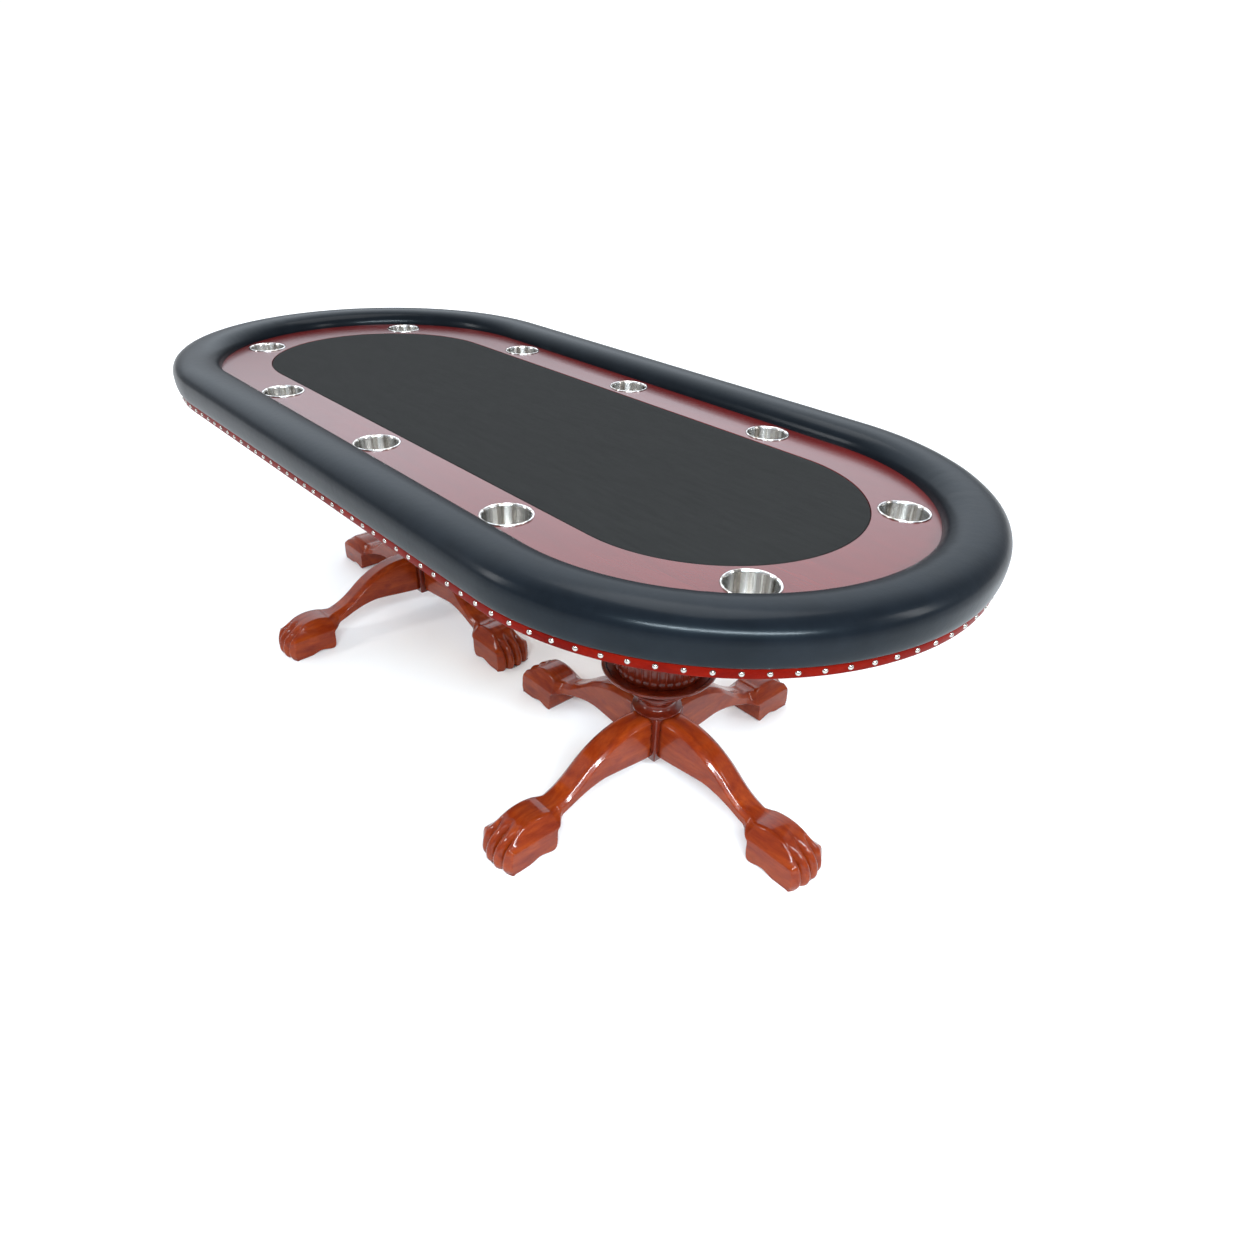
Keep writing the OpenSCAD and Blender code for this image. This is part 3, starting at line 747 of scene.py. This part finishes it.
def leg_lines(reach):
    """The leg in side view as two matching lines, the upper and the lower, hub to toes."""
    post, heel = 0.046, 0.350
    upper = [bezier((post, 0.197), (0.110, 0.206), (0.180, 0.190), (0.235, 0.146), 26),
             bezier((0.235, 0.146), (0.285, 0.106), (0.320, 0.092), (heel, 0.094), 18),
             bezier((heel, 0.094), (0.390, 0.108), (0.430, 0.104), (reach - 0.038, 0.078), 44),
             bezier((reach - 0.038, 0.078), (reach - 0.008, 0.062), (reach + 0.004, 0.020),
                    (reach - 0.014, 0), 34)]
    upper = np.concatenate([upper[0]] + [part[1:] for part in upper[1:]])
    lower = [bezier((post, 0.084), (0.100, 0.088), (0.140, 0.096), (0.190, 0.100), 20),
             bezier((0.190, 0.100), (0.262, 0.098), (0.300, 0.066), (heel - 0.009, 0.060), 24),
             bezier((heel - 0.009, 0.060), (heel - 0.001, 0.058), (heel, 0.052), (heel, 0.044), 6),
             bezier((heel, 0.044), (heel, 0.012), (heel + 0.002, 0), (heel + 0.012, 0), 14),
             bezier((heel + 0.012, 0), (0.376, 0.001), (0.386, 0.008), (0.398, 0.008), 12),
             bezier((0.398, 0.008), (0.410, 0.008), (0.420, 0), (0.434, 0), 12),
             bezier((0.434, 0), (0.450, 0), (0.470, 0), (reach - 0.014, 0), 34)]
    lower = np.concatenate([lower[0]] + [part[1:] for part in lower[1:]])
    return upper, lower


def leg_mesh():
    """One carved leg along +X from its pedestal's axis: a slim shank and a paw with four toes."""
    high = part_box("right_leg_outer")[1]
    reach = high.x - PEDESTAL_X + 0.0065    # the toes' curve stays short of its control points
    foot, shank = high.y, 0.033             # half widths
    panel_top = 0.061                       # the top of the paw's flat side, above the floor
    toe_bend, toe_end = 88, 108             # points of the upper line
    pitch, groove_depth = 2 * foot / 4, 0.0130
    radii = (0.003, 0.0022, 0.006, 0.006, 0.0022, 0.003)
    counts = (10, 16, 60, 16, 10, 16)
    upper, lower = leg_lines(reach)
    ahead = np.gradient(upper, axis=0)
    out = np.stack([-ahead[:, 1], ahead[:, 0]], axis=1)
    out = np.maximum(out, 0) + (1e-9, 0)
    out /= np.linalg.norm(out, axis=1)[:, None]
    rows = []
    for k, (top, base) in enumerate(zip(upper, lower)):
        height = np.linalg.norm(top - base)
        way = (top - base) / max(height, 1e-9)

        # The section: upright sides, then slopes up to a narrower crest
        widening = soft_step(base[0], 0.316, 0.347)
        wide = shank + (foot - shank) * widening
        crest = 0.021 + 0.012 * widening
        on_foot = soft_step(top[0], 0.318, 0.352)
        panel = np.clip((panel_top - base[1]) / max(way[1], 0.3), 0.12 * height, height - 0.009)
        side = max((1 - on_foot) * (height - 0.011) + on_foot * panel, 0.12 * height)
        corners = [(-wide, 0), (-wide, side), (-crest, height), (crest, height), (wide, side),
                   (wide, 0)]
        loop = section_loop(corners, radii, counts, 0.4 * height)
        y, h = loop[:, 0], loop[:, 1]
        share = np.clip(h / max(height, 1e-9), 0, 1)

        # The grooves between the toes, cut square to the upper line and level at the floor
        between = (y + foot) % pitch
        from_groove = np.minimum(between, pitch - between) / (pitch / 2)
        outermost = np.abs(y) > foot - pitch / 2
        groove = groove_depth * (1 - from_groove) ** 2 * ~outermost
        on_top = groove * soft_step(top[0], 0.425, 0.470)
        at_floor = groove * soft_step(base[0], 0.440, reach - 0.016)
        set_back = 0.013 * (np.abs(y) / foot) ** 2.4 * soft_step(k, toe_bend, toe_end)
        x = base[0] + way[0] * h - share * on_top * out[k, 0] - (1 - share) * at_floor - set_back
        z = base[1] + way[1] * h - share * on_top * out[k, 1]
        rows.append(np.stack([x, y, np.maximum(z, 0)], axis=1))
    return np.array(rows)


def section_loop(corners, radii, counts, most):
    """A closed loop with corners rounded to their radii, but to no more than most. Each side
    has its count of points, whatever its length."""
    corners = np.array(corners, float)
    made = []
    for k, count in enumerate(counts):
        following = (k + 1) % len(corners)
        here, after = corners[k], corners[following]
        back, ahead = corners[k - 1] - here, after - here
        far_back, far_ahead = (max(np.linalg.norm(side), 1e-9) for side in (back, ahead))
        cut, next_cut = min(radii[k], most), min(radii[following], most)
        start = here + back / far_back * min(cut, 0.45 * far_back)
        end = here + ahead / far_ahead * min(cut, 0.45 * far_ahead)
        stop = after - ahead / far_ahead * min(next_cut, 0.45 * far_ahead)
        made += corner(start, here, end, 5)
        made += [end + (stop - end) * t for t in np.linspace(0, 1, count)[1:-1]]
    return np.array(made)


def legs(side):
    """A pedestal's four legs: one mesh, turned about the axis."""
    points = leg_mesh()
    for way, degrees in {"outer": 0, "front": -90, "inner": 180, "back": 90}.items():
        if side == "left" and way in ("outer", "inner"):
            degrees = 180 - degrees
        piece = grid(f"{side}_leg_{way}_carved", points, wrap_rows=False, sharp=38)
        cap_ends(piece)
        piece.matrix_world = (Matrix.Translation((PEDESTALS[side], 0, 0))
                              @ Matrix.Rotation(math.radians(degrees), 4, "Z"))
        place(piece, "carved_mahogany", "root", [f"{side}_leg_{way}"])


def cap_ends(piece):
    """Closes the open end of a tube of quads with one flat face."""
    work = bmesh.new()
    work.from_mesh(piece.data)
    bmesh.ops.holes_fill(work, edges=[e for e in work.edges if e.is_boundary], sides=0)
    bmesh.ops.recalc_face_normals(work, faces=work.faces)
    work.to_mesh(piece.data)
    work.free()


def finish_frame_nodes():
    """Materials for the frame's own nodes that still show."""
    plain = {
        "plywood": ["playing_deck", "spacer_ring", "playing_board", "rail_core", "rail_skirt",
                    "pedestal_battens", "end_battens"],
        "zinc_steel": ["rail_bolts", "rail_t_nuts", "batten_screws"],
    }
    for side in PEDESTALS:
        plain["plywood"] += [f"{side}_top_plate", f"{side}_leg_dowels"]
        plain["zinc_steel"] += [f"{side}_tie_rod", f"{side}_tie_rod_nuts", f"{side}_plate_bolts"]
    for finish, names in plain.items():
        for name in names:
            cad = frame["nodes"][name]
            cad.data.materials.clear()
            cad.data.materials.append(FINISH[finish])


# Studio

def world():
    """Soft studio light from all round, brightest behind the table's left end, dimmer towards
    the horizon, and plain white where the camera sees it."""
    scene = bpy.context.scene
    scene.world = bpy.data.worlds.new("studio")
    scene.world.use_nodes = True
    tree = scene.world.node_tree
    tree.nodes.clear()
    here = node(tree, "ShaderNodeTexCoord").outputs["Generated"]
    facing = vector_math(tree, "DOT_PRODUCT", here, (-0.83, 0.47, 0.30))["Value"]
    bright = spread(tree, facing, 0.0, 1.0, 0.30, 1.0, interpolation_type="SMOOTHSTEP")
    height = node(tree, "ShaderNodeSeparateXYZ", {0: here}).outputs["Z"]
    above = spread(tree, height, 0.0, 1.0, 0.215, 0.29, interpolation_type="SMOOTHSTEP")
    level = node(tree, "ShaderNodeMath", {0: bright, 1: above}, operation="MULTIPLY").outputs[0]
    colour = ramp(tree, level, (0.0, (0.50, 0.52, 0.55)), (1.0, (2.10, 2.30, 2.50)))
    soft = node(tree, "ShaderNodeBackground", {"Color": colour, "Strength": 1.0})
    white = node(tree, "ShaderNodeBackground", {"Color": (1, 1, 1, 1), "Strength": 1.05})
    seen = node(tree, "ShaderNodeLightPath").outputs["Is Camera Ray"]
    both = node(tree, "ShaderNodeMixShader", {0: seen, 1: soft.outputs[0], 2: white.outputs[0]})
    node(tree, "ShaderNodeOutputWorld", {"Surface": both.outputs[0]})


def softbox(name, at, towards, length, width, power, lie=(1, 0, 0), colour=(1, 1, 1)):
    """A rectangular lamp that faces a point, with its length as near to lie as that allows."""
    light = bpy.data.lights.new(name, "AREA")
    light.shape = "RECTANGLE"
    light.size, light.size_y, light.energy = length, width, power
    light.color = colour
    holder = bpy.data.objects.new(name, light)
    back = (Vector(at) - Vector(towards)).normalized()
    up = back.cross(Vector(lie)).normalized()
    turn = Matrix((up.cross(back), up, back)).transposed().to_4x4()
    holder.matrix_world = Matrix.Translation(at) @ turn
    holder.visible_camera = False
    bpy.context.scene.collection.objects.link(holder)


def floor():
    """A pale floor out to the horizon, with a painted glow that grows away from the table and
    turns it white.
    """
    radii, steps = [0, 2.0, 4.0, 8.0, 20.0, 60.0], 64
    a = 2 * math.pi * np.arange(steps)[:, None] / steps
    r = np.array(radii)[None, :]
    points = np.stack([r * np.cos(a), r * np.sin(a), 0 * r * a], axis=2)
    faces = grid_faces(steps, len(radii), wrap_columns=False)
    piece = build("studio_floor", points.reshape(-1, 3).tolist(), faces)
    if any(polygon.normal.z < 0 for polygon in piece.data.polygons):
        piece.data.flip_normals()
    material, tree, principled = shader("pale_floor", Roughness=1.0, Specular_IOR_Level=0.0,
                                        Emission_Color=(1, 1, 1, 1))
    far = vector_math(tree, "LENGTH", coordinates(tree))["Value"]
    # Painted glow: emission 0.06 within 1.2 m of the table, rising to 0.8 at 7 m.
    tree.links.new(spread(tree, far, 0.06, 0.8, 1.2, 7.0), principled.inputs["Emission Strength"])
    tint = noise_of(tree, coordinates(tree), 0.8, 2, 0.5)
    tree.links.new(ramp(tree, tint, (0.3, (0.90, 0.90, 0.90)), (0.7, (0.92, 0.92, 0.92))),
                   principled.inputs["Base Color"])
    piece.data.materials.append(material)


def camera():
    """The viewing angle: past the right end, looking down along the table, slightly rolled."""
    azimuth, down, roll = 2.3753, 0.5536, 0.0417    # radians
    forward = Vector((math.cos(azimuth) * math.cos(down), math.sin(azimuth) * math.cos(down),
                      -math.sin(down)))
    right = forward.cross(Vector((0, 0, 1))).normalized()
    up = right.cross(forward)
    tilted_right = right * math.cos(roll) + up * math.sin(roll)
    tilted_up = up * math.cos(roll) - right * math.sin(roll)
    lens = bpy.data.cameras.new("camera")
    lens.sensor_width = 36
    lens.lens = 23.76
    lens.clip_end = 200
    holder = bpy.data.objects.new("camera", lens)
    turn = Matrix((tilted_right, tilted_up, -forward)).transposed().to_4x4()
    holder.matrix_world = Matrix.Translation((1.6243, -1.1666, 1.4076)) @ turn
    bpy.context.scene.collection.objects.link(holder)
    bpy.context.scene.camera = holder


camera()
boards()
field_foam()
cloth()
rail()
nails()
cups()
for pedestal in PEDESTALS:
    capital(pedestal)
    urn(pedestal)
    collar(pedestal)
    stem(pedestal)
    hub(pedestal)
    legs(pedestal)
finish_frame_nodes()
world()
softbox("top_softbox", (-0.4, 0.9, 4.2), (0, 0, 0.7), 2.6, 2.2, 62)
softbox("near_strip", (2.45, -1.55, 2.4), (0.98, -0.41, 0.8), 2.6, 0.2, 170, (0.75, 0.66, 0),
        (0.80, 0.93, 1.0))
softbox("left_strip", (-1.6, -3.0, 2.2), (-0.3, 0, 0.6), 0.5, 1.4, 30)
softbox("right_strip", (3.4, 1.6, 2.4), (0.4, 0, 0.6), 0.5, 1.4, 26, (0, 1, 0))
floor()
bpy.context.scene.view_settings.view_transform = "Standard"
